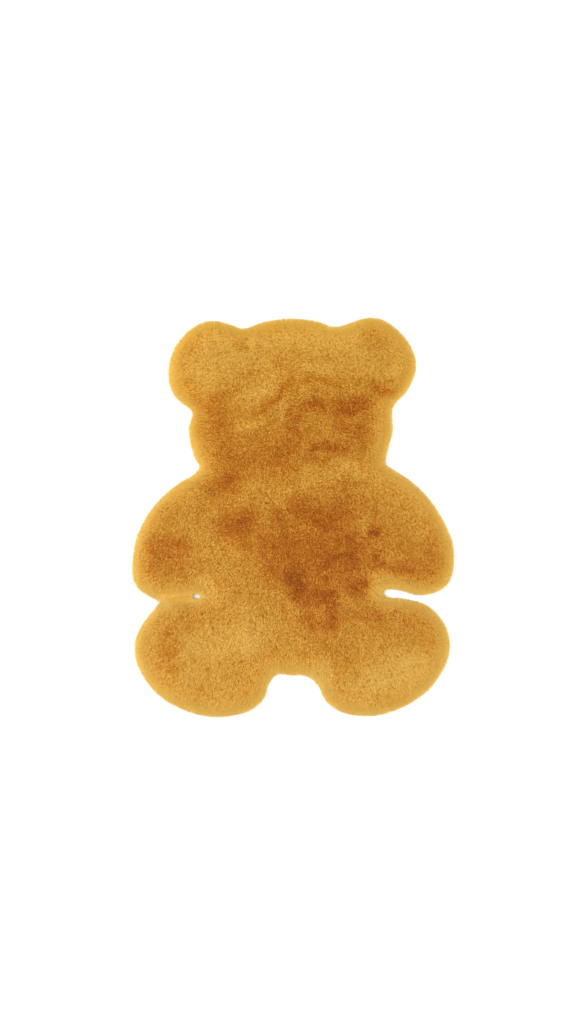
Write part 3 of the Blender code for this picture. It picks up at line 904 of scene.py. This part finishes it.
class RUG_OT_plush_pile(bpy.types.Operator):
    """Grow the brushed pile, leaning out over the rim and clumped where it stands up"""

    bl_idname = "rug.plush_pile"
    bl_label = "Grow Plush Pile"

    def execute(self, context):
        sizes = context.scene.rug_sizes
        seed = sizes.pattern
        random = np.random.default_rng(seed)
        roots, tips, widths, nap = self.set_tufts(sizes, random)
        marks = self.paint_tuft_shades(sizes, random, tips[:, :2], nap)
        tuft = model_tuft()
        material = plush_material(context.scene.rug_colours)
        BUILD["pile"] = []
        for number, (name, x0, x1, y0, y1) in enumerate(PILE_FIELDS):
            field = (
                (roots[:, 0] >= x0 * MM) & (roots[:, 0] < x1 * MM)
                & (roots[:, 1] >= y0 * MM) & (roots[:, 1] < y1 * MM)
            )
            piece = grow_tufts(
                name, roots[field], tips[field], widths[field], marks[field], tuft, seed + 10 + number
            )
            piece.data.materials.append(material)
            BUILD["pile"].append(piece)
        return {"FINISHED"}

    def set_tufts(self, sizes, random):
        """The tufts' roots, tips and half widths, and what their colour and painted shade go by."""
        seed = sizes.pattern
        points, triangles = BUILD["arrays"]
        fields = surface_fields(points, triangles, BUILD["line"])
        tips, inset, way_in = tuft_tips(points, triangles, fields, sizes.tuft_spacing, seed + 1)
        count = len(tips)
        rolled = 1 - eased(inset, RIM_LAID, RIM_LAID + RIM_FADE)
        tone = nap_tone(tips[:, :2], rolled)
        rim = np.exp(-np.maximum(inset, 0) / sizes.rim_depth)

        pull = (CLUMP_FLAT + CLUMP_BY_TONE * tone) * random.uniform(*CLUMP_PULLS, count) * (1 - rolled)
        tips = gathered(tips, sizes.clump_spacing, pull, seed + 2)
        ground = sizes.cloth_thickness - ROOT_SINK
        height = np.maximum(tips[:, 2] - ground, 0)

        turn = NAP_HEADING + WIDE_TURN * lattice_noise(tips[:, :2], WIDE_WAVE, WIDE_SEED)
        waves = CLOSE_TURN * lattice_noise(tips[:, :2], CLOSE_WAVE, CLOSE_SEED)
        turn += waves + random.normal(0, STRAY_TURN, count)
        angle = LEAN_FLAT - LEAN_BY_TONE * tone + random.normal(0, LEAN_STRAY, count)
        lean = np.tan(np.radians(angle))
        laid = np.stack([np.cos(turn), np.sin(turn)], 1) * (lean * height * (1 - rim))[:, None]
        slant = laid - way_in * (sizes.rim_reach * rim)[:, None]
        reach = np.maximum(np.linalg.norm(slant, axis=1), np.abs(lean) * height)
        roots = np.zeros_like(tips)
        roots[:, :2] = tips[:, :2] - unit(slant) * reach[:, None]
        roots[:, :2] += random.normal(0, ROOT_STRAY, (count, 2))
        roots[:, 2] = ground * np.clip((tips[:, 2] + ROOT_LOW_RISE) / ROOT_LOW_SPAN, ROOT_LOW, 1)

        short = np.abs(random.normal(0, SHORT_STRAY, count))
        length = np.clip(1 - (short + SHORT_BY_TONE * tone) * (1 - rolled), SHORTEST, 1)
        tips = roots + (tips - roots) * length[:, None]
        edge = np.exp(-np.maximum(inset, 0) / sizes.fuzz_depth)
        loose = random.gamma(FUZZ_SHAPE, sizes.fuzz / FUZZ_SHAPE, count)
        loose = np.minimum(loose, FUZZ_LONGEST * sizes.fuzz)
        seam = self.near_seam(tips)
        tips[:, :2] -= way_in * (edge * loose + edge * (RIM_SPREAD + seam * SEAM_REACH))[:, None]
        tips[:, 2] += SEAM_LIFT * seam * np.maximum(SEAM_HEIGHT - tips[:, 2], 0)
        tips[:, :2] = self.clear_of_hole(tips[:, :2])
        widths = sizes.tuft_width * random.uniform(*WIDTH_RANGE, count)
        return roots, tips, widths, (tone, inset, rolled, seam, short)

    @staticmethod
    def paint_tuft_shades(sizes, random, places, nap):
        """Each tuft's tone and speck, from 0 to 1, and its painted light, around 1: the tone paints the shade
        of standing pile, the speck a random tone with painted shade in gaps, the light the rim, ring and seam.
        """
        tone, inset, rolled, seam, short = nap
        seed, count = sizes.pattern, len(places)
        (cell_1, strength_1), (cell_2, strength_2) = SOFT_GRAINS
        grain = (
            strength_1 * lattice_noise(places, cell_1 * MM, seed + 3)
            + strength_2 * lattice_noise(places, cell_2 * MM, seed + 4)
            + SHARP_GRAIN * kept_fine(random.normal(0, 1, count), places)
        )
        grain = sizes.grain * grain * (1 - GRAIN_SMOOTH_RIM * rolled) * (GRAIN_FLAT + GRAIN_DARK * tone)
        tone = np.clip(tone + grain + SEAM_TONE * seam, 0, TONE_DEEPEST) / TONE_DEEPEST

        # Painted dark flecks of shade in small gaps
        fleck = eased(-lattice_noise(places, FLECK_CELL, seed + 5), FLECK_FROM, FLECK_TO) * (1 - rolled)
        fine = FINE_SOFT * lattice_noise(places, FINE_SOFT_CELL, seed + 6)
        fine += FINE_SHARP * random.normal(0, 1, count)
        # Painted shade on tufts that fall short
        fine += SHORT_SHADE * (SHORT_MEAN - short)
        fine = FINE_GAIN * kept_fine(fine, places)
        fine = fine * (SPECK_FLAT + SPECK_BY_TONE * tone) * (1 - SPECK_SMOOTH_RIM * rolled)
        specks = np.clip(SPECK_MIDDLE + fine - FLECK_DARK * fleck, 0, 1)

        # Painted light: a brighter ring inside the rim, a darker rim, a brighter seam, and painted shade where
        # the pile leans away from the light
        ring = eased(inset, *RING_INNER) * (1 - eased(inset, *RING_OUTER))
        painted_light = 1 + RING_PAINTED_LIGHT * ring + RIM_PAINTED_LIGHT * rolled + SEAM_PAINTED_LIGHT * seam
        painted_light += drawn_marks(places, SHADE_MARKS)
        return np.stack([tone, specks, painted_light], 1)

    @staticmethod
    def clear_of_hole(places):
        """The places, with those in the small hole at the seam's end moved out to its edge."""
        middle, half = np.array(HOLE_MIDDLE) * MM, np.array(HOLE_HALF) * MM
        offset = (places - middle) / half
        far = np.linalg.norm(offset, axis=1)
        return middle + offset * (np.maximum(far, 1) / np.maximum(far, TINY))[:, None] * half

    @staticmethod
    def near_seam(tips):
        """From 0 to 1, how near each tip is to the seam where the left arm lies against the left leg."""
        start, end = (np.array(place) * MM for place in SEAM_LINE)
        share, away = share_and_distance(tips[:, :2], start, end)
        beside = 1 - eased(away, SEAM_NEAR, SEAM_FAR)
        return beside * eased(share, 0, SEAM_FADE_IN) * (1 - eased(share, SEAM_FADE_OUT, 1))


class RUG_OT_ride_and_declare(bpy.types.Operator):
    """Tie the backing and the pile to the part's body, and hide the imported rug"""

    bl_idname = "rug.ride_and_declare"
    bl_label = "Join To The Part"

    def execute(self, context):
        backing, pile = BUILD["backing"], BUILD["pile"]
        for piece in [backing] + pile:
            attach(piece, "root")
        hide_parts(NODE)
        return {"FINISHED"}


class RUG_OT_studio_stage(bpy.types.Operator):
    """Set the plain floor, the soft lights and the camera straight above the rug"""

    bl_idname = "rug.studio_stage"
    bl_label = "Set Studio Stage"

    def execute(self, context):
        stage = context.scene.rug_stage
        deselect_all()
        bpy.ops.mesh.primitive_plane_add(size=FLOOR_SIZE, location=(0, 0, RUG_LOW.z - FLOOR_DROP))
        floor = context.object
        floor.name = "studio_floor"
        bpy.ops.object.transform_apply(location=True, rotation=True, scale=True)
        material = bpy.data.materials.new("studio_floor")
        material.use_nodes = True
        shader = material.node_tree.nodes["Principled BSDF"]
        shader.inputs["Base Color"].default_value = (*stage.floor, 1.0)
        shader.inputs["Roughness"].default_value = FLOOR_ROUGHNESS
        shader.inputs["Specular IOR Level"].default_value = FLOOR_SPECULAR
        floor.data.materials.append(material)

        self.add_light("key_light", KEY_PLACE, KEY_SIZE, stage.key_power)
        self.add_light("fill_light", FILL_PLACE, FILL_SIZE, stage.fill_power)
        world = bpy.data.worlds.new("studio")
        world.use_nodes = True
        sky = world.node_tree.nodes["Background"]
        sky.inputs["Color"].default_value = SKY_TINT
        sky.inputs["Strength"].default_value = stage.sky
        context.scene.world = world
        context.scene.view_settings.view_transform = "Standard"
        self.add_camera(context, stage.camera_height)
        return {"FINISHED"}

    @staticmethod
    def add_light(name, place, size, power):
        """A square soft light that points at the middle of the rug."""
        bpy.ops.object.light_add(type="AREA", location=place)
        light = bpy.context.object
        light.name = name
        light.data.shape = "SQUARE"
        light.data.size = size
        light.data.energy = power
        x, y, z = place
        light.rotation_euler = (math.atan2(math.hypot(x, y), z), 0, math.atan2(y, x) + math.pi / 2)

    @staticmethod
    def add_camera(context, height):
        """A camera that looks straight down, with the rug where the photograph has it."""
        pixel = (RUG_HIGH.y - RUG_LOW.y) / RUG_PIXELS_LONG
        middle = (RUG_LOW + RUG_HIGH) / 2
        bpy.ops.object.camera_add(
            location=(
                middle.x + (FRAME_WIDTH / 2 - RUG_MIDDLE_X) * pixel,
                middle.y - (FRAME_HEIGHT / 2 - RUG_MIDDLE_Y) * pixel,
                height,
            ),
        )
        camera = context.object
        camera.name = "photo_camera"
        camera.data.sensor_fit = "VERTICAL"
        camera.data.sensor_height = SENSOR_HEIGHT
        camera.data.lens = SENSOR_HEIGHT * (height - RIM_HEIGHT) / (FRAME_HEIGHT * pixel)
        context.scene.camera = camera


class RUG_PT_panel(bpy.types.Panel):
    """The rug's sizes, colours and steps, in the sidebar"""

    bl_idname = "RUG_PT_panel"
    bl_label = "Bear Shaped Pet Rug"
    bl_space_type = "VIEW_3D"
    bl_region_type = "UI"
    bl_category = "Rug"

    def draw(self, context):
        scene = context.scene
        groups = {"Sizes": scene.rug_sizes, "Colours": scene.rug_colours, "Stage": scene.rug_stage}
        for label, group in groups.items():
            box = self.layout.box()
            box.label(text=label)
            for name in group.bl_rna.properties.keys():
                if name not in ("name", "rna_type"):
                    box.prop(group, name)
        for operator in OPERATORS:
            self.layout.operator(operator.bl_idname)


GROUPS = (RugSizes, RugColours, StageSettings)
OPERATORS = (RUG_OT_backing_cloth, RUG_OT_plush_pile, RUG_OT_ride_and_declare, RUG_OT_studio_stage)


def register():
    """Registers the settings, the operators and the panel."""
    for item in GROUPS + OPERATORS + (RUG_PT_panel,):
        bpy.utils.register_class(item)
    bpy.types.Scene.rug_sizes = PointerProperty(type=RugSizes)
    bpy.types.Scene.rug_colours = PointerProperty(type=RugColours)
    bpy.types.Scene.rug_stage = PointerProperty(type=StageSettings)


def unregister():
    """Takes the settings, the operators and the panel away again."""
    del bpy.types.Scene.rug_sizes, bpy.types.Scene.rug_colours, bpy.types.Scene.rug_stage
    for item in reversed(GROUPS + OPERATORS + (RUG_PT_panel,)):
        bpy.utils.unregister_class(item)


def main():
    """Makes the rug and its stage."""
    register()
    BUILD["arrays"] = plush_arrays()
    BUILD["line"] = floor_line(*BUILD["arrays"])
    bpy.ops.rug.backing_cloth()
    bpy.ops.rug.plush_pile()
    bpy.ops.rug.ride_and_declare()
    bpy.ops.rug.studio_stage()


if __name__ == "__main__":
    main()
